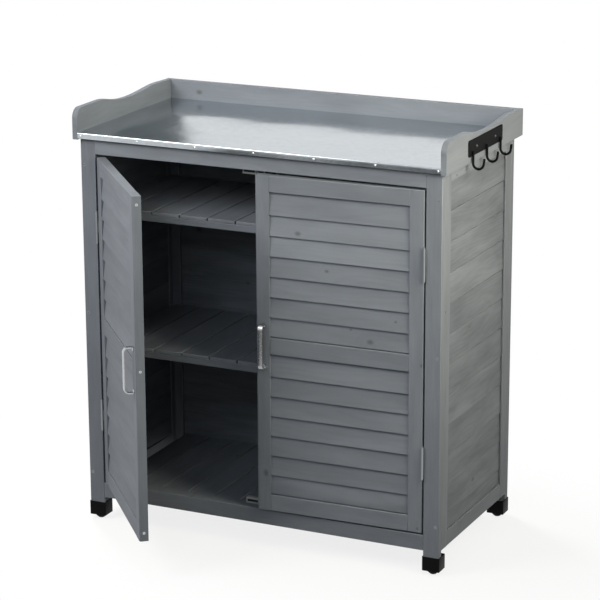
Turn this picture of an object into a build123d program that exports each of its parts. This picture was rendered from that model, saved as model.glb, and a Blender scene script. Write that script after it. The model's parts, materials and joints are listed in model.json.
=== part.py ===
"""Potting bench: a slatted timber cabinet on capped legs with two louvred doors,
two slatted shelves, a sheet metal worktop between splash boards and a hook rail.
Millimetres, +Z up, front towards -Y, origin on the floor under the cabinet's middle."""

import os
from math import ceil, cos, radians, sin

from build123d import *

os.makedirs("parts", exist_ok=True)

# Cabinet
body_width = 880
body_depth = 428
worktop_height = 925

# Legs and their caps
leg_width = 37
leg_depth = 33
leg_face = 17
cap_wall = 2.2
cap_top = 43
cap_floor = 3
glide_height = 10
glide_waist = 5
glide_radius = 14
glide_waist_radius = 12.5
glide_tread = 7
glide_sides = 16

# Frame rails and side panels
rail_height = 36
rail_bottom = 56
panel_thick = 15
stile_width = 33
side_rail_height = 28
groove_depth = 6
siding_inset = 4

# Lapped boards of the sides and the back
lap_exposure = 69
lap_length = 10
lap_butt = 9
lap_tip = 7.5
lap_tongue = 4
lap_shadow = 2
lap_clearance = 0.3

# Floor and shelves
slat_count = 12
slat_gap = 4
slat_thick = 8
floor_drop = 3
cleat_width = 15
cleat_height = 18
batten_width = 18
batten_height = 15
batten_setback = 5
upper_shelf_top = 747
middle_shelf_top = 423

# Worktop and splash boards
board_thick = 12
sheet_thick = 1
sheet_bend = 1.2
front_overhang = 12
rear_overhang = 4
splash_thick = 13
splash_drop = 3
splash_height = 61
splash_hump = 10
splash_nose = 24
hump_length = 105
step_length = 65
dip_at = 290
dip_depth = 4
swell_at = 365
swell_rise = 2

# Sheet nails
nail_count = 7
nail_margin = 6
nail_head = 2.6
nail_head_height = 1
nail_shank = 1
nail_length = 14
nail_head_angle = 30

# Hook rail on the right splash board
plate_length = 200
plate_height = 36
plate_thick = 2.5
plate_middle = 222
plate_rise = 15
plate_corner = 4
hook_wire = 2.7
hook_pitch = 82
hook_weld = 11
hook_drop = 15
hook_bend = 12
hook_turn_angle = 172
hook_tip = 13
hook_sides = 10

# Screws, with few flat sides because they are small
fastener_sides = 8
countersink_angle = 45
screw_clearance = 0.1
leg_screw_shank = 2
leg_screw_head = 3.8
leg_screw_length = 38
leg_screw_inset = 8
leg_screw_low_rise = 59
leg_screw_middle = 502
leg_screw_high_drop = 62
plate_screw_shank = 1.7
plate_screw_head = 3.8
plate_screw_head_height = 2
plate_screw_length = 12
plate_screw_pitch = 110
plate_screw_head_angle = 35

# Doors
door_thick = 20
door_top_gap = 5.5
door_bottom_gap = 4
meeting_gap = 6
door_stile = 33
door_top_rail = 37
door_middle_rail = 39
door_bottom_rail = 38
door_round = 4
left_rest_angle = 49.5
right_rest_angle = 1.6

# Louvre slats of a door
louvres_per_bay = 7
louvre_top_extra = 5
louvre_rise = 2.5
louvre_thick = 5
louvre_lap = 6
louvre_inset = 1.5
louvre_clearance = 0.4
louvre_slot = 6
slot_clearance = 0.2

# Hinges
hinge_length = 74
hinge_leaf = 1.5
hinge_leaf_depth = 12
hinge_slit = 1
knuckle_count = 3
knuckle_radius = 3
knuckle_gap = 0.3
knuckle_sides = 16
pin_radius = 1.5
pin_clearance = 0.05
pin_stand = 1.5
hinge_stand = 0.3
upper_hinge = 708
lower_hinge = 260

# Handles
handle_centres = 96
handle_length = 105
handle_reach = 24
handle_width = 10
handle_thick = 2.5
handle_bend = 12
handle_inset = 20

# Magnetic catches and their strike plates
catch_at = 26
catch_width = 34
catch_depth = 11.5
catch_height = 14
magnet_width = 26
magnet_height = 5
magnet_depth = 9
magnet_clearance = 0.1
strike_thick = 1
strike_height = 10
strike_setback = 1
catch_clearance = 0.4

# Heights worked out from the sizes above
frame_top = worktop_height - sheet_thick - board_thick
opening_top = frame_top - rail_height
opening_bottom = rail_bottom + rail_height
side_top = frame_top - side_rail_height
leg_bottom = glide_height + cap_floor
floor_top = opening_bottom - floor_drop
splash_bottom = frame_top - splash_drop
splash_top = splash_bottom + splash_height
plate_bottom = splash_bottom + plate_rise

# Places across and along
half_width = body_width / 2
inner_half = half_width - leg_width
panel_inner = half_width - panel_thick
front = -body_depth / 2
rear = body_depth / 2
lip_front = front - front_overhang
board_rear = rear + rear_overhang
splash_rear = board_rear + splash_thick
stile_front = front + leg_face
stile_rear = rear - leg_face
siding_back = half_width - siding_inset - lap_butt
back_boards_front = rear - leg_face - lap_butt
splash_outer = half_width + splash_thick
plate_at = lip_front + plate_middle
plate_outer = splash_outer + plate_thick
leg_screw_x = half_width - leg_screw_inset

# Hinge axes and door outlines
hinge_gap = 2 * hinge_leaf + hinge_slit
axis_x = inner_half - hinge_gap / 2
axis_stand = knuckle_radius + hinge_stand
axis_y = front - axis_stand
door_bottom = opening_bottom + door_bottom_gap
door_top = opening_top - door_top_gap
door_near = hinge_gap / 2
door_far = axis_x - meeting_gap / 2
door_front = axis_stand
door_back = axis_stand + door_thick


def middle(span):
    return (span[0] + span[1]) / 2


def length(span):
    return abs(span[1] - span[0])


def rectangle(across, along):
    """A rectangle between two pairs of limits, in the sketch that is open."""
    with Locations((middle(across), middle(along))):
        Rectangle(length(across), length(along))


def finish(piece, name):
    piece.part.label = name
    export_step(piece.part, f"parts/{name}.step")


def plain_board(name, across, along, upright):
    """One square-edged board between three pairs of limits."""
    with BuildPart() as board:
        with BuildSketch(Plane.XY.offset(upright[0])):
            rectangle(across, along)
        extrude(amount=length(upright))
    finish(board, name)


def screw_spot(x, y, z, outward):
    """The plane of a screw head whose outward side looks along the given direction."""
    return Plane(origin=(x, y, z), z_dir=outward)


def fastener(spot, radius, height, taper=0, mode=Mode.ADD):
    """One stretch of a screw or nail, or of its hole, from the plane of its head."""
    with BuildSketch(spot) as outline:
        RegularPolygon(radius, fastener_sides)
    extrude(outline.sketch, amount=height, taper=taper, mode=mode)


def shank_hole(spots, radius, depth):
    for spot in spots:
        fastener(spot, radius + screw_clearance, -depth, mode=Mode.SUBTRACT)


# Legs: an outer rebate along each leg takes the stile of the side panel
leg_screw_heights = (rail_bottom + leg_screw_low_rise, leg_screw_middle, frame_top - leg_screw_high_drop)
leg_screw_sink = leg_screw_head - leg_screw_shank


def leg_screw_spots(side, end):
    return [screw_spot(side * leg_screw_x, end * rear, z, (0, end, 0)) for z in leg_screw_heights]


def make_leg(name, side, end):
    leg_y = (end * rear, end * (rear - leg_depth))
    rebate_y = (end * stile_rear, end * (rear - leg_depth))
    with BuildPart() as leg:
        with BuildSketch(Plane.XY.offset(leg_bottom)):
            rectangle((side * inner_half, side * half_width), leg_y)
            with Locations((side * (panel_inner + half_width) / 2, middle(rebate_y))):
                Rectangle(panel_thick, length(rebate_y), mode=Mode.SUBTRACT)
        extrude(amount=frame_top - leg_bottom)
        spots = leg_screw_spots(side, end)
        shank_hole(spots, leg_screw_shank, leg_face)
        sink_radius = leg_screw_head + screw_clearance
        for spot in spots:
            fastener(spot, sink_radius, -leg_screw_sink, countersink_angle, Mode.SUBTRACT)
    finish(leg, name)


make_leg("front_left_leg", -1, -1)
make_leg("front_right_leg", 1, -1)
make_leg("rear_left_leg", -1, 1)
make_leg("rear_right_leg", 1, 1)

with BuildPart() as leg_screws:
    for side in (-1, 1):
        for end in (-1, 1):
            for spot in leg_screw_spots(side, end):
                fastener(spot, leg_screw_head, -leg_screw_sink, countersink_angle)
                fastener(spot, leg_screw_shank, -leg_screw_length)
finish(leg_screws, "leg_screws")

# Foot caps: an open square sleeve over the leg's end, standing on a round glide that narrows to its tread
cap_centre_x = half_width - leg_width / 2
cap_centre_y = rear - leg_depth / 2
glide_rings = ((0, glide_tread), (glide_waist, glide_waist_radius), (glide_height, glide_radius))
with BuildPart() as foot_caps:
    for side in (-1, 1):
        for end in (-1, 1):
            centre = (side * cap_centre_x, end * cap_centre_y)
            with BuildSketch(Plane.XY.offset(glide_height)) as sleeve:
                with Locations(centre):
                    Rectangle(leg_width + 2 * cap_wall, leg_depth + 2 * cap_wall)
                chamfer(sleeve.vertices(), cap_wall)
            extrude(amount=cap_top - glide_height)
            with BuildSketch(Plane.XY.offset(leg_bottom)):
                with Locations(centre):
                    Rectangle(leg_width, leg_depth)
            extrude(amount=cap_top - leg_bottom, mode=Mode.SUBTRACT)
            for height, radius in glide_rings:
                with BuildSketch(Plane.XY.offset(height)):
                    with Locations(centre):
                        RegularPolygon(radius, glide_sides)
            loft(ruled=True)
finish(foot_caps, "foot_caps")

# Front and rear rails between the legs
front_rail_y = (front, front + leg_depth)
rear_rail_y = (rear - leg_face, rear)
between_legs = (-inner_half, inner_half)
plain_board("front_top_rail", between_legs, front_rail_y, (opening_top, frame_top))
plain_board("front_bottom_rail", between_legs, front_rail_y, (rail_bottom, opening_bottom))
plain_board("rear_top_rail", between_legs, rear_rail_y, (opening_top, frame_top))
plain_board("rear_bottom_rail", between_legs, rear_rail_y, (rail_bottom, opening_bottom))


# Side panels: grooved stiles and rails around lapped boards
groove_x = (siding_back - lap_clearance, siding_back + lap_butt + lap_clearance)


def side_stile(name, side, end):
    outer_y = end * stile_rear
    inner_y = end * (stile_rear - stile_width)
    groove_y = (inner_y, inner_y + end * groove_depth)
    with BuildPart() as stile:
        with BuildSketch(Plane.XY.offset(rail_bottom)):
            rectangle((side * panel_inner, side * half_width), (outer_y, inner_y))
        extrude(amount=frame_top - rail_bottom)
        with BuildSketch(Plane.XY.offset(opening_bottom)):
            rectangle([side * x for x in groove_x], groove_y)
        extrude(amount=side_top + lap_length + lap_clearance - opening_bottom, mode=Mode.SUBTRACT)
        spots = [screw_spot(side * leg_screw_x, outer_y, z, (0, end, 0)) for z in leg_screw_heights]
        shank_hole(spots, leg_screw_shank, leg_screw_length - leg_face + screw_clearance)
    finish(stile, name)


side_rail_y = (stile_front + stile_width, stile_rear - stile_width)


def side_top_rail(name, side):
    with BuildPart() as rail:
        with BuildSketch(Plane.XY.offset(side_top)):
            rectangle((side * panel_inner, side * half_width), side_rail_y)
        extrude(amount=side_rail_height)
        with BuildSketch(Plane.XY.offset(side_top)):
            rectangle([side * x for x in groove_x], side_rail_y)
        extrude(amount=lap_length + lap_clearance, mode=Mode.SUBTRACT)
    finish(rail, name)


def lap_profile(low, exposure, is_lowest):
    """Section of one lapped board, outward then up: a thick butt, a face that slopes
    back to a rebated tongue, and a rebate behind the butt for the tongue of the board below."""
    high = low + exposure
    tongue = [(lap_tip, high), (lap_tongue, high), (lap_tongue, high + lap_length), (0, high + lap_length)]
    if is_lowest:
        return [(0, low), (lap_butt, low)] + tongue
    seat = lap_tongue + lap_clearance
    seat_top = low + lap_length + lap_clearance
    butt = low + lap_shadow
    return [(0, seat_top), (seat, seat_top), (seat, butt), (lap_butt, butt)] + tongue


def lapped_boards(name, origin, outward, run, low, high):
    """Boards lapped from the top down, the lowest one ripped to the height that is left."""
    along = Vector(outward).cross(Vector(0, 0, 1))
    count = ceil((high - low) / lap_exposure)
    with BuildPart() as boards:
        with BuildSketch(Plane(origin=origin, x_dir=outward, z_dir=along)):
            for row in range(count):
                top = high - row * lap_exposure
                bottom = max(top - lap_exposure, low)
                Polygon(*lap_profile(bottom, top - bottom, row == count - 1), align=None)
        extrude(amount=run)
    finish(boards, name)


siding_end = groove_depth - lap_clearance
siding_run = length(side_rail_y) + 2 * siding_end
for side, word in ((-1, "left"), (1, "right")):
    side_stile(f"{word}_front_stile", side, -1)
    side_stile(f"{word}_rear_stile", side, 1)
    side_top_rail(f"{word}_top_rail", side)
    panel_x = (side * panel_inner, side * half_width)
    plain_board(f"{word}_bottom_rail", panel_x, side_rail_y, (rail_bottom, opening_bottom))
    start = (side * siding_back, side * siding_run / 2, 0)
    lapped_boards(f"{word}_siding", start, (side, 0, 0), siding_run, opening_bottom, side_top)

back_start = (-inner_half, back_boards_front, 0)
lapped_boards(
    "back_boards", back_start, (0, 1, 0), 2 * inner_half, rail_bottom, frame_top - lap_length - lap_clearance
)


# Slatted floor and shelves: slats run from front to back over cleats or battens
def slatted_deck(name, half_span, along, top):
    width = (2 * half_span - (slat_count + 1) * slat_gap) / slat_count
    with BuildPart() as deck:
        with BuildSketch(Plane.XY.offset(top - slat_thick)):
            with Locations((0, middle(along))):
                with GridLocations(width + slat_gap, 1, slat_count, 1):
                    Rectangle(width, length(along))
        extrude(amount=slat_thick)
    finish(deck, name)


floor_y = (front + leg_depth, back_boards_front)
slatted_deck("floor_slats", inner_half, floor_y, floor_top)
with BuildPart() as floor_cleats:
    with BuildSketch(Plane.XY.offset(floor_top - slat_thick - cleat_height)):
        rectangle(between_legs, (floor_y[0], floor_y[0] + cleat_width))
        rectangle(between_legs, (floor_y[1], floor_y[1] - cleat_width))
    extrude(amount=cleat_height)
finish(floor_cleats, "floor_cleats")


def shelf(word, top):
    """Slats on a front and a rear batten that rest on cleats along both side panels."""
    deck_y = (front + leg_depth + batten_setback, rear - leg_depth - batten_setback)
    batten_base = top - slat_thick - batten_height
    slatted_deck(f"{word}_shelf_slats", panel_inner, deck_y, top)
    with BuildPart() as battens:
        with BuildSketch(Plane.XY.offset(batten_base)):
            rectangle((-panel_inner, panel_inner), (deck_y[0], deck_y[0] + batten_width))
            rectangle((-panel_inner, panel_inner), (deck_y[1], deck_y[1] - batten_width))
        extrude(amount=batten_height)
    finish(battens, f"{word}_shelf_battens")
    with BuildPart() as cleats:
        with BuildSketch(Plane.XY.offset(batten_base - cleat_height)):
            for side in (-1, 1):
                cleat_x = (side * panel_inner, side * (panel_inner - cleat_width))
                rectangle(cleat_x, (front + leg_depth, rear - leg_depth))
        extrude(amount=cleat_height)
    finish(cleats, f"{word}_shelf_cleats")


shelf("upper", upper_shelf_top)
shelf("middle", middle_shelf_top)

# Worktop: a board under a metal sheet whose front edge is folded down into a lip
nail_spacing = 2 * (half_width - nail_margin) / (nail_count - 1)
nail_height = frame_top + board_thick / 2
nail_row = [(-half_width + nail_margin + i * nail_spacing) for i in range(nail_count)]
nail_spots = [screw_spot(x, lip_front, nail_height, (0, -1, 0)) for x in nail_row]
board_front = lip_front + sheet_thick

with BuildPart() as worktop_board:
    with BuildSketch(Plane.XY.offset(frame_top)):
        rectangle((-half_width, half_width), (board_front, board_rear))
    extrude(amount=board_thick)
    top_edges = worktop_board.edges().filter_by(Axis.X).group_by(Axis.Z)[-1]
    fillet(top_edges.sort_by(Axis.Y)[0], sheet_bend + sheet_thick)
    shank_hole(nail_spots, nail_shank, nail_length + screw_clearance)
finish(worktop_board, "worktop_board")

with BuildPart() as worktop_sheet:
    with BuildSketch(Plane.YZ.offset(-half_width)):
        with BuildLine():
            Polyline(
                (lip_front, frame_top),
                (lip_front, worktop_height),
                (board_rear, worktop_height),
                (board_rear, worktop_height - sheet_thick),
                (board_front, worktop_height - sheet_thick),
                (board_front, frame_top),
                close=True,
            )
        make_face()
    extrude(amount=body_width)
    fold_edges = worktop_sheet.edges().filter_by(Axis.X)
    fillet(fold_edges.group_by(Axis.Z)[-1].sort_by(Axis.Y)[0], sheet_bend + sheet_thick)
    inner_fold = worktop_sheet.edges().filter_by(Axis.X).filter_by_position(
        Axis.Z, worktop_height - 1.5 * sheet_thick, worktop_height - sheet_thick / 2
    )
    fillet(inner_fold.sort_by(Axis.Y)[0], sheet_bend)
    shank_hole(nail_spots, nail_shank, sheet_thick)
finish(worktop_sheet, "worktop_sheet")

with BuildPart() as sheet_nails:
    for spot in nail_spots:
        fastener(spot, nail_head, nail_head_height, nail_head_angle)
        fastener(spot, nail_shank, -nail_length)
finish(sheet_nails, "sheet_nails")


# Splash boards: the side boards have a rounded nose and a wavy upper edge
plate_screw_spots = [
    screw_spot(plate_outer, plate_at + offset, plate_bottom + plate_height / 2, (1, 0, 0))
    for offset in (-plate_screw_pitch / 2, plate_screw_pitch / 2)
]


def splash_side(name, side):
    hump_top = splash_top + splash_hump
    with BuildPart() as splash:
        with BuildSketch(Plane.YZ.offset(min(side * half_width, side * splash_outer))):
            with BuildLine():
                nose = Line((lip_front, splash_bottom), (lip_front, hump_top - splash_nose))
                crown = JernArc(nose @ 1, nose % 1, splash_nose, -90)
                hump = Line(crown @ 1, (lip_front + hump_length, hump_top))
                wave = Spline(
                    hump @ 1,
                    (lip_front + hump_length + step_length, splash_top),
                    (lip_front + dip_at, splash_top - dip_depth),
                    (lip_front + swell_at, splash_top + swell_rise),
                    (splash_rear, splash_top),
                    tangents=((1, 0), (1, 0)),
                )
                Polyline(wave @ 1, (splash_rear, splash_bottom), nose @ 0)
            make_face()
        extrude(amount=splash_thick)
        if side > 0:
            shank_hole(plate_screw_spots, plate_screw_shank, plate_screw_length + screw_clearance)
    finish(splash, name)


splash_side("left_splash_board", -1)
splash_side("right_splash_board", 1)
plain_board(
    "back_splash_board", (-half_width, half_width), (board_rear, splash_rear), (splash_bottom, splash_top)
)

# Hook rail: a plate screwed to the right splash board with three round wire hooks welded on
plate_middle_height = plate_bottom + plate_height / 2
with BuildPart() as hook_plate:
    with BuildSketch(Plane.YZ.offset(splash_outer)):
        with Locations((plate_at, plate_middle_height)):
            RectangleRounded(plate_length, plate_height, plate_corner)
    extrude(amount=plate_thick)
    shank_hole(plate_screw_spots, plate_screw_shank, plate_thick)
finish(hook_plate, "hook_plate")

with BuildPart() as hook_screws:
    for spot in plate_screw_spots:
        fastener(spot, plate_screw_head, plate_screw_head_height, plate_screw_head_angle)
        fastener(spot, plate_screw_shank, -plate_screw_length)
finish(hook_screws, "hook_plate_screws")

hook_side_turn = 180 / hook_sides
hook_centre = plate_outer + hook_wire * cos(radians(hook_side_turn))
with BuildPart() as hooks:
    for step in (-1, 0, 1):
        weld = (hook_centre, plate_at + step * hook_pitch, plate_bottom)
        hook_plane = Plane(origin=weld, x_dir=(1, 0, 0), z_dir=(0, -1, 0))
        with BuildLine(hook_plane) as hook_path:
            shank = Line((0, hook_weld), (0, -hook_drop))
            bend = JernArc(shank @ 1, shank % 1, hook_bend, hook_turn_angle)
            Line(bend @ 1, (bend @ 1) + (bend % 1) * hook_tip)
        with BuildSketch(Plane(origin=hook_path.wire() @ 0, z_dir=(0, 0, -1))):
            RegularPolygon(hook_wire, hook_sides, rotation=hook_side_turn)
        sweep(path=hook_path.wire())
finish(hooks, "hooks")


# Doors: each is laid out from its own hinge axis, x towards the free edge, y inwards
class DoorFrame:
    """Directions of one door at rest: side is -1 for the left hinge axis, 1 for the right."""

    def __init__(self, side, rest_angle):
        turn = radians(side * rest_angle)
        self.reach = -side
        self.origin = Vector(side * axis_x, axis_y, 0)
        self.across = Vector(cos(turn), sin(turn), 0)
        self.inward = Vector(-sin(turn), cos(turn), 0)

    def level(self, height):
        """Horizontal plane at a height, with the hinge axis at its origin."""
        return Plane(self.origin + Vector(0, 0, height), x_dir=self.across, z_dir=(0, 0, 1))

    def section(self, reach):
        """Upright plane across the door at a distance from the axis, inward then up."""
        return Plane(self.origin + self.across * reach, x_dir=self.inward, z_dir=self.across)

    def span(self, near, far):
        return sorted((self.reach * near, self.reach * far))


def door_piece(name, door, reach, upright, is_rounded=False):
    """A stile or a rail; the free edge of a meeting stile has a rounded front corner."""
    with BuildPart() as piece:
        with BuildSketch(door.level(upright[0])):
            rectangle(door.span(*reach), (door_front, door_back))
        extrude(amount=length(upright))
        if is_rounded:
            free_edge = door.level(upright[0]).from_local_coords((door.reach * reach[1], door_front, 0))
            corner = piece.edges().filter_by(Axis.Z).sort_by_distance(free_edge)[0]
            fillet(corner, door_round)
        if is_rounded or reach[0] == door_near:
            slot_start = reach[0] if is_rounded else reach[1] - louvre_slot
            slot = door.span(slot_start, slot_start + louvre_slot)
            with BuildSketch(door.section(slot[0])):
                for low, high in louvre_rows:
                    Polygon(*louvre_profile(low, high, slot_clearance), align=None)
            extrude(amount=louvre_slot, mode=Mode.SUBTRACT)
    finish(piece, name)


louvre_space = door_top - door_bottom - door_top_rail - door_middle_rail - door_bottom_rail
bay_height = louvre_space / 2
louvre_pitch = (bay_height - louvre_top_extra) / louvres_per_bay
lower_bay = door_bottom + door_bottom_rail
upper_bay = lower_bay + bay_height + door_middle_rail
handle_level = upper_bay - door_middle_rail / 2
louvre_lean = (louvre_thick + louvre_clearance) * (louvre_pitch + louvre_lap) / louvre_pitch
louvre_rows = []
for bay in (lower_bay, upper_bay):
    for i in range(louvres_per_bay):
        low = bay + max(i * louvre_pitch, louvre_rise)
        high = bay + min((i + 1) * louvre_pitch + louvre_lap, bay_height)
        louvre_rows.append((low, high))


def louvre_profile(low, high, grow):
    """Section of one leaning slat, inward then up: its lower edge stands forward of the next."""
    lean = louvre_lean * (high - low) / (louvre_pitch + louvre_lap)
    face = door_front + louvre_inset
    return [
        (face - grow, low),
        (face + louvre_thick + grow, low),
        (face + lean + louvre_thick + grow, high),
        (face + lean - grow, high),
    ]


def louvres(name, door):
    ends = door.span(door_near + door_stile - louvre_slot, door_far - door_stile + louvre_slot)
    slat_ends = (ends[0] + slot_clearance, ends[1] - slot_clearance)
    with BuildPart() as slats:
        with BuildSketch(door.section(slat_ends[0])):
            for low, high in louvre_rows:
                Polygon(*louvre_profile(low, high, 0), align=None)
        extrude(amount=length(slat_ends))
    finish(slats, name)


# Butt hinges: knuckles alternate between the leaf on the leg and the leaf on the door
knuckle_pitch = hinge_length / knuckle_count


def hinge_leaves(name, doors, leaf_side, first_knuckle):
    """Leaves that share a side of their hinge: leaf_side is 1 on a door, -1 on a leg."""
    with BuildPart() as leaves:
        for door in doors:
            side = leaf_side * door.reach
            leaf_x = (side * hinge_slit / 2, side * (hinge_slit / 2 + hinge_leaf))
            for centre in (lower_hinge, upper_hinge):
                base = centre - hinge_length / 2
                with BuildSketch(door.level(base)):
                    rectangle(leaf_x, (axis_stand, axis_stand + hinge_leaf_depth))
                extrude(amount=hinge_length)
                for knuckle in range(first_knuckle, knuckle_count, 2):
                    with BuildSketch(door.level(base + knuckle * knuckle_pitch + knuckle_gap / 2)):
                        RegularPolygon(knuckle_radius, knuckle_sides)
                        rectangle(leaf_x, (0, axis_stand))
                        RegularPolygon(pin_radius + pin_clearance, knuckle_sides, mode=Mode.SUBTRACT)
                    extrude(amount=knuckle_pitch - knuckle_gap)
    finish(leaves, name)


def hinge_pins(name, doors):
    with BuildPart() as pins:
        for door in doors:
            for centre in (lower_hinge, upper_hinge):
                base = centre - hinge_length / 2
                with BuildSketch(door.level(base - pin_stand)):
                    RegularPolygon(pin_radius, knuckle_sides)
                extrude(amount=hinge_length + 2 * pin_stand)
    finish(pins, name)


def bow_corners(out, half_height):
    """Corners of one face of a handle's bow: from the stile outwards, along and back."""
    low, high = handle_level - half_height, handle_level + half_height
    return (door_front, low), (out, low), (out, high), (door_front, high)


def pull_handle(name, door):
    """A flat strip bent into a bow, whose ends turn in along the meeting stile as feet."""
    edge = door.reach * (door_far - handle_inset) - handle_width / 2
    out = door_front - handle_reach
    outer_half = handle_length / 2
    foot_end = handle_centres - outer_half
    with BuildPart() as handle:
        with BuildSketch(door.section(edge)):
            with BuildLine():
                outer = FilletPolyline(*bow_corners(out, outer_half), radius=handle_bend)
                inner_corners = bow_corners(out + handle_thick, outer_half - handle_thick)
                inner = FilletPolyline(*inner_corners, radius=handle_bend - handle_thick)
                Line(outer @ 0, inner @ 0)
                Line(outer @ 1, inner @ 1)
            make_face()
            for turn in (-1, 1):
                foot = (handle_level + turn * foot_end, handle_level + turn * outer_half)
                rectangle((door_front - handle_thick, door_front), foot)
        extrude(amount=handle_width)
    finish(handle, name)


strike_heights = (door_bottom + strike_setback, door_top - strike_setback - strike_height)


def strike_plates(name, door):
    centre = axis_x - catch_at
    with BuildPart() as strikes:
        for low in strike_heights:
            with BuildSketch(door.level(low)):
                plate = door.span(centre - catch_width / 2, centre + catch_width / 2)
                rectangle(plate, (door_back, door_back + strike_thick))
            extrude(amount=strike_height)
    finish(strikes, name)


for word, side, rest_angle in (("left", -1, left_rest_angle), ("right", 1, right_rest_angle)):
    door = DoorFrame(side, rest_angle)
    full_height = (door_bottom, door_top)
    rail_reach = (door_near + door_stile, door_far - door_stile)
    door_piece(f"{word}_door_hinge_stile", door, (door_near, door_near + door_stile), full_height)
    door_piece(f"{word}_door_meeting_stile", door, (door_far - door_stile, door_far), full_height, True)
    door_piece(f"{word}_door_top_rail", door, rail_reach, (door_top - door_top_rail, door_top))
    door_piece(f"{word}_door_middle_rail", door, rail_reach, (upper_bay - door_middle_rail, upper_bay))
    door_piece(f"{word}_door_bottom_rail", door, rail_reach, (door_bottom, lower_bay))
    louvres(f"{word}_door_louvres", door)
    hinge_leaves(f"{word}_hinge_door_leaves", [door], 1, 1)
    pull_handle(f"{word}_door_handle", door)
    strike_plates(f"{word}_door_strike_plates", door)

shut_doors = [DoorFrame(-1, 0), DoorFrame(1, 0)]
hinge_leaves("hinge_frame_leaves", shut_doors, -1, 0)
hinge_pins("hinge_pins", shut_doors)

# Magnetic catches: a housing under the top rail and one on the bottom rail for each door
catch_front = front + door_thick + strike_thick + catch_clearance
catch_y = (catch_front, catch_front + catch_depth)
magnet_y = (catch_front, catch_front + magnet_depth)
catch_bases = (opening_bottom, opening_top - catch_height)
with BuildPart() as catch_housings:
    for side in (-1, 1):
        catch_x = (side * catch_at - catch_width / 2, side * catch_at + catch_width / 2)
        pocket_x = (side * catch_at - magnet_width / 2, side * catch_at + magnet_width / 2)
        for base in catch_bases:
            with BuildSketch(Plane.XY.offset(base)):
                rectangle(catch_x, catch_y)
            extrude(amount=catch_height)
            with BuildSketch(Plane.XY.offset(base + (catch_height - magnet_height) / 2)):
                rectangle(pocket_x, magnet_y)
            extrude(amount=magnet_height, mode=Mode.SUBTRACT)
finish(catch_housings, "catch_housings")

with BuildPart() as catch_magnets:
    for side in (-1, 1):
        block = magnet_width / 2 - magnet_clearance
        for base in catch_bases:
            with BuildSketch(Plane.XY.offset(base + (catch_height - magnet_height) / 2)):
                rectangle((side * catch_at - block, side * catch_at + block), magnet_y)
            extrude(amount=magnet_height)
finish(catch_magnets, "catch_magnets")
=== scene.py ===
"""Looks of a potting bench, laid out as a Blender add-on and run as a script."""

import json
from math import cos, pi, radians, sin
from random import Random

import bmesh
import bpy
from bpy.props import FloatProperty, FloatVectorProperty, PointerProperty
from mathutils import Matrix, Vector


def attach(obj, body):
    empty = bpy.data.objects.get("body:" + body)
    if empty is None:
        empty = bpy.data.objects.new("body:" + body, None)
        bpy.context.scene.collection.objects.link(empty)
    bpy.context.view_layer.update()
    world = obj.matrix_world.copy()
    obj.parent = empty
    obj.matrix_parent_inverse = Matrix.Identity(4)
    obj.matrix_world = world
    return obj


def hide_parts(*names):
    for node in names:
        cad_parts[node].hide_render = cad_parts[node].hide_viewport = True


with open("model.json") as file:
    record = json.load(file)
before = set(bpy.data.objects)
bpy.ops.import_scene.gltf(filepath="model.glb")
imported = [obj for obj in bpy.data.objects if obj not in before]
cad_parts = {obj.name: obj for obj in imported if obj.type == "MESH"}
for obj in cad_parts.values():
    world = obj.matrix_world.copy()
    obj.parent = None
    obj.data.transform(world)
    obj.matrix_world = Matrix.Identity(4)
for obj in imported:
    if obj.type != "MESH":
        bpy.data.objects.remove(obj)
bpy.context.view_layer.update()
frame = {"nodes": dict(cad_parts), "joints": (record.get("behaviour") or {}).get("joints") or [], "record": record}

bl_info = {
    "name": "Potting Bench Looks",
    "version": (1, 0, 0),
    "blender": (4, 5, 0),
    "location": "View3D > Sidebar > Potting Bench",
    "description": "Dresses the potting bench with stained timber, galvanised sheet and hardware",
    "category": "Object",
}

MM = 0.001
UP = Vector((0, 0, 1))
WHITE = (1, 1, 1, 1)
MIX_FACTOR, MIX_A, MIX_B = 0, 6, 7  # sockets of a Mix node that mixes colours

# Copies of CAD nodes: points that merge, facets that are flat, edges that are rounded
MERGE_DISTANCE = 0.01 * MM
FLAT_ANGLE = radians(0.5)
EASED_ANGLE = radians(35)
CREASE_ANGLE = radians(38)
SHORTEST_BOARD_EDGE = 12 * MM
SHORTEST_METAL_EDGE = 4  # times the width of its eased edge
SIDING_EASE, LOUVRE_EASE = 0.5, 0.25  # of the eased edge of a thicker board

# Where a board is cut: along a run of timber in metres, and above the pith in millimetres
TIMBER_RUN = (0, 40)
PITH_DEPTH = (15, 60)

# Pine: a knot to a cell of a board's face, in a third of the cells, and rings that drift
KNOT_CELL = (380 * MM, 90 * MM)
KNOT_STRETCH = 0.7  # lengths along the board count less, so knots are longer than wide
KNOT_DRAW = 0.65  # a cell that draws more than this holds a knot
KNOT_RADIUS = (2.5 * MM, 6.5 * MM)
KNOT_PUSH = 16 * MM
RING_DRIFT = 30 * MM
DRIFTS_PER_METRE = (2.2, 9, 9)  # along, across and through a board
PATCHES_PER_METRE = (5, 22, 22)
FIBRES_ALONG = 6.0  # per metre
RING_SHARE, FIBRE_SHARE, PATCH_SHARE = 0.08, 0.2, 0.5
FIBRE_HEIGHT = 0.6  # of a ring's height

# Screws: radius of the head, radius of the shank and length; a leg screw's length is its node's
LEG_SCREW = (3.8 * MM, 2 * MM)
EDGE_SCREW = (3 * MM, 1.6 * MM, 40 * MM)
HANDLE_SCREW = (3.5 * MM, 2 * MM, 22 * MM)
HEAD_PROUD = 0.3 * MM
HANDLE_HOLES = 96 * MM

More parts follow.
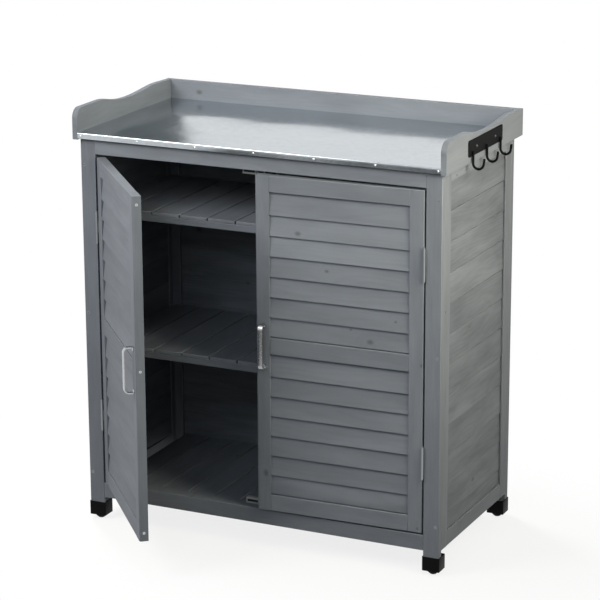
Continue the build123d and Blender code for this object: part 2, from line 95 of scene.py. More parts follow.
# Stage: the floor's oval pool of shadow, the lamps' tints and grids, and the fitted camera
FLOOR_SIZE = (24, 24)
POOL_SHAPE = (0.55, 1, 1)
POOL_REACH = (0.25, 0.65)
WARM, PLAIN, COOL = (1.0, 0.95, 0.78), (1.0, 0.985, 0.96), (0.86, 0.94, 1.0)
GRID, OPEN = radians(90), pi
PICTURE_WIDTH, FOCAL_LENGTH = 600, 2464.46  # pixels
SENSOR_WIDTH = 36.0
CAMERA_REACH = 100.0
CAMERA_PLACE = (2.34048, -4.91337, 2.0730)
CAMERA_TURN = (radians(25.432), radians(15.8507), radians(0.2664))  # yaw, pitch and roll


def linear(code):
    """An sRGB hex colour as linear RGBA."""
    parts = [int(code[i : i + 2], 16) / 255 for i in (1, 3, 5)]
    light = (c / 12.92 if c <= 0.04045 else ((c + 0.055) / 1.055) ** 2.4 for c in parts)
    return (*light, 1.0)


def colour(name, description, code):
    """A colour property with its sRGB default."""
    return FloatVectorProperty(
        name=name, description=description, subtype="COLOR", size=4, default=linear(code)
    )


def width(name, description, millimetres):
    """A width property with its default in millimetres."""
    return FloatProperty(
        name=name, description=description, unit="LENGTH", default=millimetres * MM
    )


def power(name, description, watts):
    """A lamp's power property with its default in watts."""
    return FloatProperty(name=name, description=description, unit="POWER", default=watts)


def share(name, description, default):
    """A plain share property."""
    return FloatProperty(name=name, description=description, default=default)


class BenchTimber(bpy.types.PropertyGroup):
    """Stain and grain of the boards"""

    stain: colour("Stain", "Grey stain on the boards", "#7b8087")
    streak: colour("Streak", "Stain where the late wood takes it up", "#63676e")
    # Painted shade: the recessed siding and back boards are stained darker, in clouds
    siding_shade: colour("Painted siding shade", "Painted shade of the recessed siding and back boards, laid in clouds", "#484c51")
    # Paler edges: stain rubbed thin, and a painted highlight along every eased edge
    rubbed_and_lit: colour("Rubbed edge and painted highlight", "Paler stain along the worn edges, and a painted highlight", "#868a91")
    knot: colour("Knot", "Knots that show through the stain", "#505256")
    bare: colour("Bare pine", "Unstained board under the sheet", "#b99b73")
    bare_streak: colour("Bare streak", "Late wood of the unstained board", "#a4845b")
    ease: width("Eased edge", "Width of the sanded edge of a board", 1.2)
    ring: width("Growth ring", "Width of one growth ring", 6.0)
    fibre: width("Fibre", "Width of one fibre streak", 2.5)


class BenchMetal(bpy.types.PropertyGroup):
    """Sheet, plating and coats of the metal"""

    sheet: colour("Sheet", "Galvanised worktop sheet", "#bfc6cb")
    zinc: colour("Zinc", "Bright zinc plate on screws and nails", "#d2d4d6")
    hinge: colour("Hinge", "Dull zinc plate on the hinges", "#8f9394")
    nickel: colour("Nickel", "Satin plate of the handles", "#b6b8ba")
    coat: colour("Coat", "Black powder coat of the hook rail", "#0e0f10")
    black: colour("Blackened", "Blackened steel of the hook rail's screws", "#3f4041")
    magnet: colour("Magnet", "Sintered magnets of the catches", "#2b2b2d")


class BenchPlastic(bpy.types.PropertyGroup):
    """Moulded plastic of the feet and catches"""

    foot: colour("Foot caps", "Moulded black foot caps", "#0a0a0b")
    catch: colour("Catches", "Moulded housings of the magnetic catches", "#9c9f9e")


class BenchStage(bpy.types.PropertyGroup):
    """Floor, cards and lamps around the bench"""

    floor: colour("Floor", "Pale studio floor", "#f4f4f4")
    bounce: colour("Bounce", "Floor as the object sees it", "#7a7a7a")
    flag: colour("Flag", "Dark card that the lip and the right handle mirror", "#2c2e30")
    card: colour("Card", "Grey card that the left of the sheet mirrors", "#a9b3b9")
    shadow: share("Shadow", "Share of the floor's own light near the bench", 0.82)
    key: power("Key light", "Power of the right softbox", 7.9)
    left: power("Left light", "Power of the left softbox", 33.0)
    front: power("Front light", "Power of the front softbox", 3.8)
    back: power("Back light", "Power of the rear softbox", 75.0)
    ambient: share("Ambient", "Strength of the even light", 0.1)


def set_inputs(tree, node, inputs):
    """Gives a node's sockets their values or links; a node as a value links its output in use."""
    for socket, value in inputs.items():
        if isinstance(value, bpy.types.Node):
            value = next(output for output in value.outputs if output.enabled)
        if isinstance(value, bpy.types.NodeSocket):
            tree.links.new(value, node.inputs[socket])
        else:
            node.inputs[socket].default_value = value


def add_node(tree, kind, inputs=None, **settings):
    """One shader node with its settings, its socket values and the links into it."""
    made = tree.nodes.new(f"ShaderNode{kind}")
    for key, value in settings.items():
        setattr(made, key, value)
    set_inputs(tree, made, inputs or {})
    return made


def new_material(name):
    """An empty node material with its shader and output joined."""
    material = bpy.data.materials.new(name)
    material.use_nodes = True
    tree = material.node_tree
    tree.nodes.clear()
    shader = add_node(tree, "BsdfPrincipled")
    add_node(tree, "OutputMaterial", {"Surface": shader})
    return material, tree, shader


def pine_knots(tree, place):
    """How much of a knot each spot of a board holds, and how far the rings give way to it."""
    length, breadth = KNOT_CELL
    cells = add_node(
        tree, "VectorMath", {0: place, 1: (1 / length, 1 / breadth, 0)}, operation="MULTIPLY"
    )
    centres = add_node(
        tree, "TexVoronoi", {"Vector": cells, "Scale": 1.0}, voronoi_dimensions="2D"
    )
    away = add_node(
        tree, "VectorMath", {0: cells, 1: centres.outputs["Position"]}, operation="SUBTRACT"
    )
    real_away = add_node(
        tree, "VectorMath", {0: away, 1: (length * KNOT_STRETCH, breadth, 0)}, operation="MULTIPLY"
    )
    distance = add_node(tree, "VectorMath", {0: real_away}, operation="LENGTH")
    draw = add_node(tree, "SeparateColor", {"Color": centres.outputs["Color"]})
    kept = add_node(tree, "Math", {0: draw.outputs["Red"], 1: KNOT_DRAW}, operation="GREATER_THAN")
    smallest, largest = KNOT_RADIUS
    radius = add_node(
        tree, "MapRange", {"Value": draw.outputs["Green"], "To Min": smallest, "To Max": largest}
    )
    radii = add_node(tree, "Math", {0: distance, 1: radius}, operation="DIVIDE")
    core = add_node(
        tree,
        "MapRange",
        {"Value": radii, "From Min": 0.1, "From Max": 1.5, "To Min": 0.85, "To Max": 0.0},
        interpolation_type="SMOOTHSTEP",
    )
    swirl = add_node(
        tree,
        "MapRange",
        {"Value": radii, "From Min": 0.0, "From Max": 6.0, "To Min": 1.0, "To Max": 0.0},
        interpolation_type="SMOOTHERSTEP",
    )
    knot = add_node(tree, "Math", {0: core, 1: kept}, operation="MULTIPLY")
    bulge = add_node(tree, "Math", {0: swirl, 1: kept}, operation="MULTIPLY")
    return knot, bulge


def growth_rings(tree, place, bulge, ring):
    """Late wood at each spot of a board: rings around a pith below it, pushed aside by knots."""
    across = add_node(tree, "VectorMath", {0: place, 1: (0, 1, 1)}, operation="MULTIPLY")
    radius = add_node(tree, "VectorMath", {0: across}, operation="LENGTH")
    drift_place = add_node(
        tree, "VectorMath", {0: place, 1: DRIFTS_PER_METRE}, operation="MULTIPLY"
    )
    drift = add_node(tree, "TexNoise", {"Vector": drift_place, "Scale": 1.0, "Detail": 3.0})
    wander = add_node(
        tree, "MapRange", {"Value": drift, "To Min": -RING_DRIFT, "To Max": RING_DRIFT}
    )
    bent = add_node(tree, "Math", {0: radius, 1: wander}, operation="ADD")
    pushed = add_node(tree, "Math", {0: bulge, 1: KNOT_PUSH, 2: bent}, operation="MULTIPLY_ADD")
    turns = add_node(tree, "Math", {0: pushed, 1: 2 * pi / ring}, operation="MULTIPLY")
    wave = add_node(tree, "Math", {0: turns}, operation="SINE")
    return add_node(
        tree,
        "MapRange",
        {"Value": wave, "From Min": -0.2, "From Max": 1.0},
        interpolation_type="SMOOTHSTEP",
    )


# Stained softwood: flat-sawn boards under a thin grey stain, so faint rings, fibres and a few
# dark knots show along each board, with a dull sheen and paler edges: stain rubbed thin and a painted highlight.
def stained_pine(name, stain, streak, timber):
    material, tree, shader = new_material(name)
    place = add_node(tree, "Attribute", attribute_name="grain").outputs["Vector"]
    tone = add_node(tree, "Attribute", attribute_name="tone").outputs["Fac"]
    wear_and_sheen = add_node(tree, "Attribute", attribute_name="wear_and_sheen").outputs["Fac"]
    knot, bulge = pine_knots(tree, place)
    late = growth_rings(tree, place, bulge, timber.ring)

    # Fibres along the board, and patches where the stain lies thicker
    fibres_per_metre = (FIBRES_ALONG, 1 / timber.fibre, 1 / timber.fibre)
    fibre_place = add_node(
        tree, "VectorMath", {0: place, 1: fibres_per_metre}, operation="MULTIPLY"
    )
    fibre = add_node(
        tree,
        "TexNoise",
        {"Vector": fibre_place, "Scale": 1.0, "Detail": 4.0, "Roughness": 0.6},
    )
    patch_place = add_node(
        tree, "VectorMath", {0: place, 1: PATCHES_PER_METRE}, operation="MULTIPLY"
    )
    patch = add_node(
        tree,
        "TexNoise",
        {"Vector": patch_place, "Scale": 1.0, "Detail": 3.0, "Roughness": 0.55},
    )
    thick = add_node(tree, "MapRange", {"Value": patch, "From Min": 0.35, "From Max": 0.7})

    # The stain darkens with all three, then come the knots, the paler edges (rubbed stain and a painted highlight)
    # and the board's tone
    ringed = add_node(tree, "Math", {0: late, 1: RING_SHARE}, operation="MULTIPLY")
    streaked = add_node(
        tree, "Math", {0: fibre, 1: FIBRE_SHARE, 2: ringed}, operation="MULTIPLY_ADD"
    )
    dark = add_node(
        tree,
        "Math",
        {0: thick, 1: PATCH_SHARE, 2: streaked},
        operation="MULTIPLY_ADD",
        use_clamp=True,
    )
    surface = tuple(stain)
    # Paler eased edges: rubbed stain and a painted highlight, broken up by the fibres
    worn_and_lit = add_node(tree, "Math", {0: wear_and_sheen, 1: fibre}, operation="MULTIPLY")
    for factor, shade in ((dark, streak), (knot, timber.knot), (worn_and_lit, timber.rubbed_and_lit)):
        surface = add_node(
            tree,
            "Mix",
            {MIX_FACTOR: factor, MIX_A: surface, MIX_B: tuple(shade)},
            data_type="RGBA",
        )
    level = add_node(tree, "MapRange", {"Value": tone, "To Min": 0.91, "To Max": 1.09})
    board = add_node(tree, "HueSaturation", {"Color": surface, "Value": level})
    rough = add_node(tree, "MapRange", {"Value": fibre, "To Min": 0.5, "To Max": 0.72})
    height = add_node(tree, "Math", {0: fibre, 1: FIBRE_HEIGHT, 2: late}, operation="MULTIPLY_ADD")
    bump = add_node(tree, "Bump", {"Height": height, "Strength": 0.12, "Distance": 0.15 * MM})
    set_inputs(
        tree,
        shader,
        {"Base Color": board, "Roughness": rough, "Normal": bump, "Specular IOR Level": 0.3},
    )
    return material


# Galvanised sheet: rolled steel with a zinc coat, so faint crystals about 8 mm wide show in a
# bright face that mirrors its surroundings softly and a little out of true.
def galvanised_sheet(metal):
    material, tree, shader = new_material("galvanised_sheet")
    place = add_node(tree, "TexCoord").outputs["Object"]
    spangle = add_node(tree, "TexVoronoi", {"Vector": place, "Scale": 1 / (8 * MM)})
    facet = add_node(tree, "SeparateColor", {"Color": spangle.outputs["Color"]})
    value = add_node(
        tree, "MapRange", {"Value": facet.outputs["Red"], "To Min": 0.96, "To Max": 1.03}
    )
    tint = add_node(tree, "HueSaturation", {"Color": tuple(metal.sheet), "Value": value})
    clouds = add_node(tree, "TexNoise", {"Vector": place, "Scale": 1 / (120 * MM), "Detail": 3.0})
    facet_share = 0.4
    mixed = add_node(
        tree,
        "Math",
        {0: facet.outputs["Green"], 1: facet_share, 2: clouds},
        operation="MULTIPLY_ADD",
    )
    rough = add_node(
        tree,
        "MapRange",
        {"Value": mixed, "From Min": 0.3, "From Max": 1.1, "To Min": 0.09, "To Max": 0.19},
    )
    sway = add_node(tree, "TexNoise", {"Vector": place, "Scale": 1 / (160 * MM), "Detail": 1.0})
    bump = add_node(tree, "Bump", {"Height": sway, "Strength": 0.5, "Distance": 4 * MM})
    set_inputs(
        tree, shader, {"Base Color": tint, "Roughness": rough, "Normal": bump, "Metallic": 1.0}
    )
    return material


# Plated steel: a thin metal coat over drawn or pressed steel, bright with a fine satin haze,
# which is drawn 2 mm wide so that it shows.
def plated_steel(name, plate, roughness):
    material, tree, shader = new_material(name)
    place = add_node(tree, "TexCoord").outputs["Object"]
    haze = add_node(tree, "TexNoise", {"Vector": place, "Scale": 1 / (2 * MM), "Detail": 3.0})
    low, high = roughness
    rough = add_node(tree, "MapRange", {"Value": haze, "To Min": low, "To Max": high})
    value = add_node(tree, "MapRange", {"Value": haze, "To Min": 0.92, "To Max": 1.06})
    tint = add_node(tree, "HueSaturation", {"Color": tuple(plate), "Value": value})
    set_inputs(tree, shader, {"Base Color": tint, "Roughness": rough, "Metallic": 1.0})
    return material


# Fine-grained skin: powder coat or moulded plastic, dull with a pebbled surface whose grains
# are drawn about a millimetre wide so that they show.
def grained_skin(name, body, roughness, grit, depth):
    material, tree, shader = new_material(name)
    place = add_node(tree, "TexCoord").outputs["Object"]
    grains = add_node(tree, "TexNoise", {"Vector": place, "Scale": 1 / grit, "Detail": 2.0})
    change = 0.07
    rough = add_node(
        tree,
        "MapRange",
        {"Value": grains, "To Min": roughness - change, "To Max": roughness + change},
    )
    value = add_node(tree, "MapRange", {"Value": grains, "To Min": 0.85, "To Max": 1.2})
    tint = add_node(tree, "HueSaturation", {"Color": tuple(body), "Value": value})
    bump = add_node(tree, "Bump", {"Height": grains, "Strength": 0.3, "Distance": depth})
    set_inputs(
        tree,
        shader,
        {"Base Color": tint, "Roughness": rough, "Normal": bump, "Specular IOR Level": 0.06},
    )
    return material


def body_of(node):
    """The body that a CAD node moves with."""
    bodies = frame["record"]["behaviour"]["bodies"]
    return next(body for body, members in bodies.items() if node in members)


def slot_of(node):
    """The material slot that the record gives a CAD node."""
    return next(s["material_slot"] for s in frame["record"]["subparts"] if s["node"] == node)


def finish_piece(mesh, name, body, slot, material, nodes=()):
    """Makes a finished bmesh an object that rides on a body and stands for CAD nodes."""
    data = bpy.data.meshes.new(name)
    mesh.to_mesh(data)
    mesh.free()
    piece = bpy.data.objects.new(name, data)
    bpy.context.scene.collection.objects.link(piece)
    data.materials.append(material)
    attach(piece, body)
    if nodes:
        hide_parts(*nodes)


def copy_of(node):
    """A bmesh copy of a CAD node, with doubled points merged and flat facets joined."""
    mesh = bmesh.new()
    mesh.from_mesh(frame["nodes"][node].data)
    bmesh.ops.remove_doubles(mesh, verts=mesh.verts, dist=MERGE_DISTANCE)
    bmesh.ops.dissolve_limit(mesh, angle_limit=FLAT_ANGLE, verts=mesh.verts, edges=mesh.edges)
    return mesh


def ease_edges(mesh, ease, shortest):
    """Rounds the outer edges longer than the shortest and gives the faces that it makes."""
    sharp = [
        edge
        for edge in mesh.edges
        if edge.is_manifold
        and edge.is_convex
        and edge.calc_length() > shortest
        and edge.calc_face_angle() > EASED_ANGLE
    ]
    made = bmesh.ops.bevel(
        mesh,
        geom=sharp,
        offset=ease,
        offset_type="OFFSET",
        segments=2,
        profile=0.5,
        affect="EDGES",
        clamp_overlap=True,
        material=-1,
    )
    return made["faces"]


def islands(mesh):
    """The separate solids of a bmesh, as lists of vertices."""
    mesh.verts.index_update()
    left = set(mesh.verts)
    while left:
        start = min(left, key=lambda v: v.index)
        found, rim = {start}, [start]
        while rim:
            vert = rim.pop()
            for link in vert.link_edges:
                other = link.other_vert(vert)
                if other not in found:
                    found.add(other)
                    rim.append(other)
        left -= found
        yield sorted(found, key=lambda v: v.index)


def dress_boards(nodes, axes, ease, material):
    """Copies CAD nodes of boards with sanded edges, and lays the grain of each board along its
    longest side: along, across and through it, in metres from a pith below it."""
    for node in nodes:
        mesh = copy_of(node)
        # The eased faces are marked for paler edges: rubbed stain and a painted highlight
        wear_and_sheen = mesh.loops.layers.float.new("wear_and_sheen")
        for face in ease_edges(mesh, ease, SHORTEST_BOARD_EDGE):
            face.smooth = True
            for loop in face.loops:
                loop[wear_and_sheen] = 1.0
        grain = mesh.verts.layers.float_vector.new("grain")
        tone = mesh.verts.layers.float.new("tone")
        for count, board in enumerate(islands(mesh)):
            chance = Random(f"{node} {count}")
            spans = []
            for axis in axes:
                reach = [v.co.dot(axis) for v in board]
                spans.append((max(reach) - min(reach), (max(reach) + min(reach)) / 2, axis))
            spans.sort(key=lambda s: -s[0])
            breadth = spans[1][0]
            cut = (
                chance.uniform(*TIMBER_RUN),
                chance.uniform(-0.5, 0.5) * breadth,
                chance.uniform(*PITH_DEPTH) * MM,
            )
            shade = chance.random()
            for vert in board:
                spot = [vert.co.dot(axis) - mid + c for (_, mid, axis), c in zip(spans, cut)]
                vert[grain] = Vector(spot)
                vert[tone] = shade
        finish_piece(mesh, f"{node}_boards", body_of(node), slot_of(node), material, [node])


def dress_metal(nodes, material, ease=0):
    """Copies CAD nodes of hardware with their curves shaded round and, if asked, eased edges."""
    for node in nodes:
        mesh = copy_of(node)
        if ease:
            ease_edges(mesh, ease, SHORTEST_METAL_EDGE * ease)
        for face in mesh.faces:
            face.smooth = True
        for edge in mesh.edges:
            edge.smooth = edge.is_manifold and edge.calc_face_angle() < CREASE_ANGLE
        finish_piece(mesh, f"{node}_dressed", body_of(node), slot_of(node), material, [node])


def square_axes(turn=0.0):
    """Three square directions, turned about the upright by a door's angle at rest."""
    return Vector((cos(turn), sin(turn), 0)), Vector((-sin(turn), cos(turn), 0)), UP.copy()


def door_turn(word):
    """A door's angle at rest, from its joint: how far its closed limit is from where it stands."""
    joint = next(j for j in frame["joints"] if j["child"] == f"{word}_door")
    return -radians(min(joint["range_deg"])) * joint["axis"][2]


def span(node, axis):
    """How far a CAD node reaches along a direction."""
    reach = [v.co.dot(axis) for v in frame["nodes"][node].data.vertices]
    return min(reach), max(reach)


def middle(node, axis):
    """The middle of a CAD node along a direction."""
    return sum(span(node, axis)) / 2


def cross_screw(mesh, spot, outward, radius, shank, length):
    """One countersunk screw with a cross recess, whose head looks outward from its spot."""
    before = set(mesh.verts)
    rim = bmesh.ops.create_circle(mesh, segments=20, radius=radius)["verts"]
    rim_edges = list({e for v in rim for e in v.link_edges})
    arm, half = 0.62 * radius, 0.15 * radius
    recess_taper, recess_depth = 0.6, 0.55 * radius
    quarter = [Vector((arm, -half, 0)), Vector((arm, half, 0)), Vector((half, half, 0))]
    points = [Matrix.Rotation(turn * pi / 2, 3, "Z") @ p for turn in range(4) for p in quarter]
    cross = [mesh.verts.new(p) for p in points]
    cross_edges = [mesh.edges.new((a, b)) for a, b in zip(cross, cross[1:] + cross[:1])]
    bmesh.ops.triangle_fill(mesh, use_beauty=True, edges=rim_edges + cross_edges, normal=UP)
    for loop, steps in (
        (cross_edges, [(recess_taper, -recess_depth)]),
        (rim_edges, [(shank / radius, shank - radius), (1.0, shank - length)]),
    ):
        for scale, drop in steps:
            made = bmesh.ops.extrude_edge_only(mesh, edges=loop)["geom"]
            verts = [g for g in made if isinstance(g, bmesh.types.BMVert)]
            loop = [g for g in made if isinstance(g, bmesh.types.BMEdge)]
            bmesh.ops.scale(mesh, vec=(scale, scale, 1), verts=verts)
            bmesh.ops.translate(mesh, vec=(0, 0, drop), verts=verts)
        bmesh.ops.edgeloop_fill(mesh, edges=loop)
    fresh = [v for v in mesh.verts if v not in before]
    turn = outward.to_track_quat("Z", "Y").to_matrix().to_4x4()
    bmesh.ops.transform(mesh, matrix=Matrix.Translation(spot) @ turn, verts=fresh)


def finish_screws(mesh, name, body, material, nodes=()):
    """Turns the faces of a set of screws outwards and finishes them as one piece."""
    bmesh.ops.recalc_face_normals(mesh, faces=mesh.faces)
    finish_piece(mesh, name, body, slot_of("leg_screws"), material, nodes)


class BENCH_OT_frame(bpy.types.Operator):
    """Dress the legs and rails in stained pine"""

    bl_idname = "bench.frame"
    bl_label = "Legs and Rails"

    def execute(self, context):
        timber = context.scene.bench_timber
        pine = stained_pine("grey_stained_pine", timber.stain, timber.streak, timber)
        legs = [f"{end}_{side}_leg" for end in ("front", "rear") for side in ("left", "right")]
        rails = [f"{end}_{level}_rail" for end in ("front", "rear") for level in ("top", "bottom")]
        dress_boards(legs + rails, square_axes(), timber.ease, pine)
        return {"FINISHED"}


class BENCH_OT_panels(bpy.types.Operator):
    """Dress the side panels and the back in stained pine"""

    bl_idname = "bench.panels"
    bl_label = "Sides and Back"

    def execute(self, context):
        timber = context.scene.bench_timber
        pine = bpy.data.materials["grey_stained_pine"]
        # The siding and back boards take a darker stain in clouds, which is painted shade of the recessed panels
        siding_shade = stained_pine("shaded_siding_pine", timber.stain, timber.siding_shade, timber)
        parts = ("front_stile", "rear_stile", "top_rail", "bottom_rail")
        framing = [f"{side}_{part}" for side in ("left", "right") for part in parts]
        siding = ["left_siding", "right_siding", "back_boards"]
        dress_boards(framing, square_axes(), timber.ease, pine)
        dress_boards(siding, square_axes(), timber.ease * SIDING_EASE, siding_shade)
        return {"FINISHED"}


class BENCH_OT_shelves(bpy.types.Operator):
    """Dress the slatted floor and shelves in stained pine"""

    bl_idname = "bench.shelves"
    bl_label = "Floor and Shelves"

    def execute(self, context):
        nodes = ["floor_slats", "floor_cleats"]
        for level in ("upper", "middle"):
            nodes += [f"{level}_shelf_{part}" for part in ("slats", "battens", "cleats")]
        pine = bpy.data.materials["grey_stained_pine"]
        dress_boards(nodes, square_axes(), context.scene.bench_timber.ease, pine)
        return {"FINISHED"}


class BENCH_OT_worktop(bpy.types.Operator):
    """Dress the worktop board, its metal sheet and the nails along the lip"""

    bl_idname = "bench.worktop"
    bl_label = "Worktop"

    def execute(self, context):
        timber, metal = context.scene.bench_timber, context.scene.bench_metal
        bare = stained_pine("bare_pine", timber.bare, timber.bare_streak, timber)
        dress_boards(["worktop_board"], square_axes(), timber.ease * SIDING_EASE, bare)
        dress_metal(["worktop_sheet"], galvanised_sheet(metal))
        zinc = plated_steel("bright_zinc_plate", metal.zinc, roughness=(0.25, 0.4))
        dress_metal(["sheet_nails"], zinc)
        return {"FINISHED"}


class BENCH_OT_splash(bpy.types.Operator):
    """Dress the three splash boards in stained pine"""

    bl_idname = "bench.splash"
    bl_label = "Splash Boards"

    def execute(self, context):
        nodes = [f"{side}_splash_board" for side in ("left", "right", "back")]
        pine = bpy.data.materials["grey_stained_pine"]
        dress_boards(nodes, square_axes(), context.scene.bench_timber.ease, pine)
        return {"FINISHED"}


class BENCH_OT_doors(bpy.types.Operator):
    """Dress the stiles, rails and louvre slats of both doors in stained pine"""

    bl_idname = "bench.doors"
    bl_label = "Doors"

    def execute(self, context):
        ease = context.scene.bench_timber.ease
        pine = bpy.data.materials["grey_stained_pine"]
        parts = ("hinge_stile", "meeting_stile", "top_rail", "middle_rail", "bottom_rail")
        for word in ("left", "right"):
            axes = square_axes(door_turn(word))
            dress_boards([f"{word}_door_{part}" for part in parts], axes, ease, pine)
            dress_boards([f"{word}_door_louvres"], axes, ease * LOUVRE_EASE, pine)
        return {"FINISHED"}


class BENCH_OT_hardware(bpy.types.Operator):
    """Dress the hinges, handles, strike plates and magnetic catches"""

    bl_idname = "bench.hardware"
    bl_label = "Door Hardware"

    def execute(self, context):
        metal, plastic = context.scene.bench_metal, context.scene.bench_plastic
        dull = plated_steel("dull_zinc_plate", metal.hinge, roughness=(0.4, 0.55))
        leaves = ["left_hinge_door_leaves", "right_hinge_door_leaves", "hinge_frame_leaves"]
        plates = ["left_door_strike_plates", "right_door_strike_plates"]
        dress_metal([*leaves, "hinge_pins", *plates], dull)
        nickel = plated_steel("satin_nickel", metal.nickel, roughness=(0.2, 0.32))
        dress_metal(["left_door_handle", "right_door_handle"], nickel, ease=0.5 * MM)
        catch = grained_skin(
            "moulded_catch_plastic", plastic.catch, roughness=0.5, grit=1.2 * MM, depth=0.05 * MM
        )
        dress_metal(["catch_housings"], catch, ease=0.6 * MM)
        magnet = grained_skin(
            "sintered_magnet", metal.magnet, roughness=0.5, grit=0.8 * MM, depth=0.05 * MM
        )
        dress_metal(["catch_magnets"], magnet)
        return {"FINISHED"}


class BENCH_OT_screws(bpy.types.Operator):
    """Put cross-recessed screws in the legs, in the doors' free edges and behind the handles"""

    bl_idname = "bench.screws"
    bl_label = "Screws"

    def execute(self, context):
        zinc = bpy.data.materials["bright_zinc_plate"]
        dull = bpy.data.materials["dull_zinc_plate"]
        solids = copy_of("leg_screws")
        mesh = bmesh.new()
        for screw in islands(solids):
            reaches = [[v.co[i] for v in screw] for i in range(3)]
            (left, right), (front, rear), (low, high) = ((min(r), max(r)) for r in reaches)
            end = 1 if front + rear > 0 else -1
            head = Vector(((left + right) / 2, rear if end > 0 else front, (low + high) / 2))
            cross_screw(mesh, head, Vector((0, end, 0)), *LEG_SCREW, rear - front)
        solids.free()
        finish_screws(mesh, "leg_screws_crossed", "carcass", dull, ["leg_screws"])

        for word, side in (("left", 1), ("right", -1)):
            across, inward, _ = square_axes(door_turn(word))
            stile, handle = f"{word}_door_meeting_stile", f"{word}_door_handle"
            edge = max(side * reach for reach in span(stile, across)) * side
            depth = middle(stile, inward)
            mesh = bmesh.new()
            for rail in ("top", "middle", "bottom"):
                level = middle(f"{word}_door_{rail}_rail", UP)
                head = across * (edge + side * HEAD_PROUD) + inward * depth + UP * level
                cross_screw(mesh, head, across * side, *EDGE_SCREW)
            finish_screws(mesh, f"{word}_door_edge_screws", f"{word}_door", zinc)
            face = max(span(stile, inward)) + HEAD_PROUD
            mesh = bmesh.new()
            for rise in (-HANDLE_HOLES / 2, HANDLE_HOLES / 2):
                level = middle(handle, UP) + rise
                head = across * middle(handle, across) + inward * face + UP * level
                cross_screw(mesh, head, inward, *HANDLE_SCREW)
            finish_screws(mesh, f"{word}_door_handle_screws", f"{word}_door", zinc)
        return {"FINISHED"}


class BENCH_OT_hook_rail(bpy.types.Operator):
    """Dress the hook rail in black powder coat and its screws in blackened steel"""

    bl_idname = "bench.hook_rail"
    bl_label = "Hook Rail"

    def execute(self, context):
        metal = context.scene.bench_metal
        coat = grained_skin(
            "black_powder_coat", metal.coat, roughness=0.7, grit=0.9 * MM, depth=0.06 * MM
        )
        dress_metal(["hook_plate"], coat, ease=0.5 * MM)
        dress_metal(["hooks"], coat)
        black = plated_steel("blackened_steel", metal.black, roughness=(0.4, 0.55))
        dress_metal(["hook_plate_screws"], black)
        return {"FINISHED"}


class BENCH_OT_feet(bpy.types.Operator):
    """Dress the foot caps in moulded plastic"""

    bl_idname = "bench.feet"
    bl_label = "Foot Caps"

    def execute(self, context):
        foot = context.scene.bench_plastic.foot
        skin = grained_skin(
            "moulded_foot_plastic", foot, roughness=0.4, grit=1.1 * MM, depth=0.06 * MM
        )
        dress_metal(["foot_caps"], skin, ease=0.8 * MM)
        return {"FINISHED"}


def stage_sheet(name, size, place, material, turn=0):
    """A flat stage surface that is not part of the object, tipped up by a turn about X."""
    mesh = bmesh.new()
    bmesh.ops.create_grid(mesh, x_segments=1, y_segments=1, size=0.5)
    bmesh.ops.scale(mesh, vec=(*size, 1), verts=mesh.verts)
    tip = Matrix.Rotation(turn, 3, "X")
    bmesh.ops.rotate(mesh, cent=(0, 0, 0), matrix=tip, verts=mesh.verts)
    bmesh.ops.translate(mesh, vec=place, verts=mesh.verts)
    data = bpy.data.meshes.new(name)
    mesh.to_mesh(data)
    mesh.free()
    sheet = bpy.data.objects.new(name, data)
    bpy.context.scene.collection.objects.link(sheet)
    data.materials.append(material)
    return sheet


def seen_directly(tree):
    """1 for rays from the camera, from gloss and through glass, else 0."""
    path = add_node(tree, "LightPath").outputs
    seen = path["Is Camera Ray"]
    for kind in ("Is Glossy Ray", "Is Transmission Ray"):
        seen = add_node(tree, "Math", {0: seen, 1: path[kind]}, operation="MAXIMUM")
    return seen


# Studio floor: matt paper, white to the eye with a light soft shadow near the bench, and greyer
# as a source of bounce.
def floor_paper(stage):
    material, tree, shader = new_material("studio_floor_paper")
    seen = seen_directly(tree)
    paper = add_node(
        tree,
        "Mix",
        {MIX_FACTOR: seen, MIX_A: tuple(stage.bounce), MIX_B: tuple(stage.floor)},
        data_type="RGBA",
    )
    set_inputs(
        tree, shader, {"Base Color": paper, "Roughness": 1.0, "Specular IOR Level": 0.0}
    )
    glow = add_node(tree, "Emission", {"Color": WHITE, "Strength": 1.0})
    place = add_node(tree, "TexCoord").outputs["Object"]
    oval = add_node(tree, "VectorMath", {0: place, 1: POOL_SHAPE}, operation="MULTIPLY")
    away = add_node(tree, "VectorMath", {0: oval}, operation="LENGTH")
    near, far = POOL_REACH
    fade = add_node(
        tree,
        "MapRange",
        {"Value": away, "From Min": near, "From Max": far, "To Min": stage.shadow, "To Max": 1.0},
        interpolation_type="SMOOTHSTEP",
    )
    own_light = add_node(tree, "Math", {0: seen, 1: fade}, operation="MULTIPLY")
    lit = add_node(tree, "MixShader", {0: own_light, 1: shader, 2: glow})
    set_inputs(tree, tree.nodes["Material Output"], {"Surface": lit})
    return material


def light_world(scene, ambient):
    """A white surround to the eye and in gloss, and a weak even light otherwise."""
    world = bpy.data.worlds.new("studio")
    scene.world = world
    world.use_nodes = True
    tree = world.node_tree
    tree.nodes.clear()
    seen = seen_directly(tree)
    strength = add_node(tree, "MapRange", {"Value": seen, "To Min": ambient, "To Max": 1.0})
    sky = add_node(tree, "Background", {"Color": WHITE, "Strength": strength})
    add_node(tree, "OutputWorld", {"Surface": sky})


def softbox(name, watts, tint, spread, side, place, aim):
    """A large square lamp that looks at a point, with a grid that narrows its spread."""
    lamp = bpy.data.lights.new(name, "AREA")
    lamp.shape = "RECTANGLE"
    lamp.size, lamp.size_y = side, side
    lamp.energy = watts
    lamp.color = tint
    lamp.spread = spread
    holder = bpy.data.objects.new(name, lamp)
    bpy.context.scene.collection.objects.link(holder)
    holder.location = place
    holder.rotation_euler = (Vector(aim) - Vector(place)).to_track_quat("-Z", "Y").to_euler()
    return holder


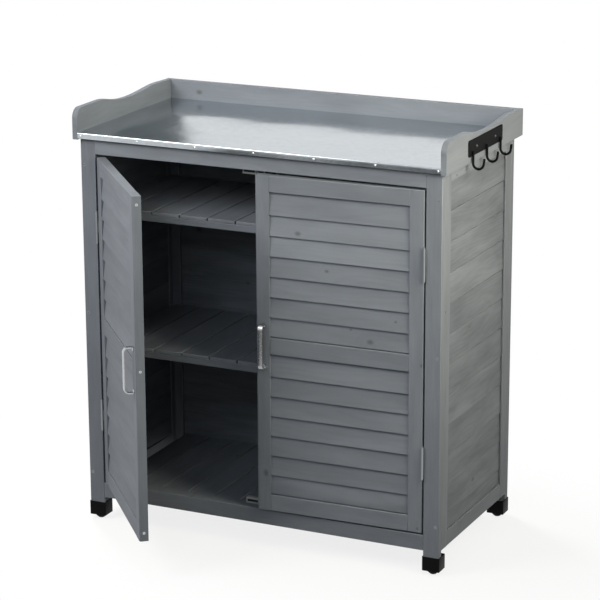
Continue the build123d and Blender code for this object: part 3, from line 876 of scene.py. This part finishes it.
def place_camera(scene):
    """The camera that was fitted to the straight edges of the photograph, with no shift."""
    lens = bpy.data.cameras.new("camera")
    lens.sensor_width = SENSOR_WIDTH
    lens.lens = FOCAL_LENGTH / PICTURE_WIDTH * SENSOR_WIDTH
    lens.clip_end = CAMERA_REACH
    camera = bpy.data.objects.new("camera", lens)
    scene.collection.objects.link(camera)
    yaw, pitch, roll = CAMERA_TURN
    ahead = Vector((-sin(yaw) * cos(pitch), cos(yaw) * cos(pitch), -sin(pitch)))
    right = ahead.cross(UP).normalized()
    above = right.cross(ahead)
    turn = Matrix((right, above, -ahead)).transposed() @ Matrix.Rotation(-roll, 3, "Z")
    camera.matrix_world = Matrix.Translation(CAMERA_PLACE) @ turn.to_4x4()
    scene.camera = camera


class BENCH_OT_stage(bpy.types.Operator):
    """Set up the pale floor, the soft studio light and the camera"""

    bl_idname = "bench.stage"
    bl_label = "Stage"

    def execute(self, context):
        scene, stage = context.scene, context.scene.bench_stage
        scene.view_settings.view_transform = "Standard"
        stage_sheet("studio_floor", FLOOR_SIZE, (0, 0, 0), floor_paper(stage))

        # Cards out of view, seen only in the metal: one on the floor in front, one up behind
        for name, shade, size, place, turn in (
            ("flag_card", stage.flag, (2.3, 3.5), (-0.8, -3.1, 0.02), 0),
            ("grey_card", stage.card, (2.0, 2.4), (-2.7, 2.6, 1.6), pi / 2),
        ):
            material, tree, shader = new_material(name)
            set_inputs(tree, shader, {"Base Color": tuple(shade)})
            stage_sheet(name, size, place, material, turn).visible_camera = False

        light_world(scene, stage.ambient)
        for lamp in (
            ("right", stage.key, WARM, GRID, 0.8, (1.45, -0.5, 1.35), (0.44, -0.1, 0.9)),
            ("left", stage.left, PLAIN, OPEN, 0.9, (-1.1, -1.6, 1.95), (-0.05, -0.2, 0.6)),
            ("front", stage.front, COOL, GRID, 0.9, (0.4, -2.4, 1.9), (0.1, -0.2, 0.85)),
            ("back", stage.back, PLAIN, OPEN, 0.9, (-1.7, 1.4, 2.2), (-0.1, 0.1, 0.5)),
        ):
            word, *values = lamp
            softbox(f"{word}_softbox", *values).visible_glossy = word != "back"
        place_camera(scene)
        return {"FINISHED"}


GROUPS = {
    "bench_timber": BenchTimber,
    "bench_metal": BenchMetal,
    "bench_plastic": BenchPlastic,
    "bench_stage": BenchStage,
}
OPERATORS = [
    BENCH_OT_frame,
    BENCH_OT_panels,
    BENCH_OT_shelves,
    BENCH_OT_worktop,
    BENCH_OT_splash,
    BENCH_OT_doors,
    BENCH_OT_hardware,
    BENCH_OT_screws,
    BENCH_OT_hook_rail,
    BENCH_OT_feet,
    BENCH_OT_stage,
]


class BENCH_PT_panel(bpy.types.Panel):
    """Lists the operators in order, and the sizes and colours that they use"""

    bl_label = "Potting Bench"
    bl_idname = "BENCH_PT_panel"
    bl_space_type = "VIEW_3D"
    bl_region_type = "UI"
    bl_category = "Potting Bench"

    def draw(self, context):
        for operator in OPERATORS:
            self.layout.operator(operator.bl_idname)
        for group in GROUPS:
            values = getattr(context.scene, group)
            box = self.layout.box()
            for key in values.__annotations__:
                box.prop(values, key)


CLASSES = [*GROUPS.values(), *OPERATORS, BENCH_PT_panel]


def register():
    for cls in CLASSES:
        bpy.utils.register_class(cls)
    for name, cls in GROUPS.items():
        setattr(bpy.types.Scene, name, PointerProperty(type=cls))


def unregister():
    for name in GROUPS:
        delattr(bpy.types.Scene, name)
    for cls in reversed(CLASSES):
        bpy.utils.unregister_class(cls)


def main():
    register()
    for operator in OPERATORS:
        group, name = operator.bl_idname.split(".")
        getattr(getattr(bpy.ops, group), name)()


if __name__ == "__main__":
    main()
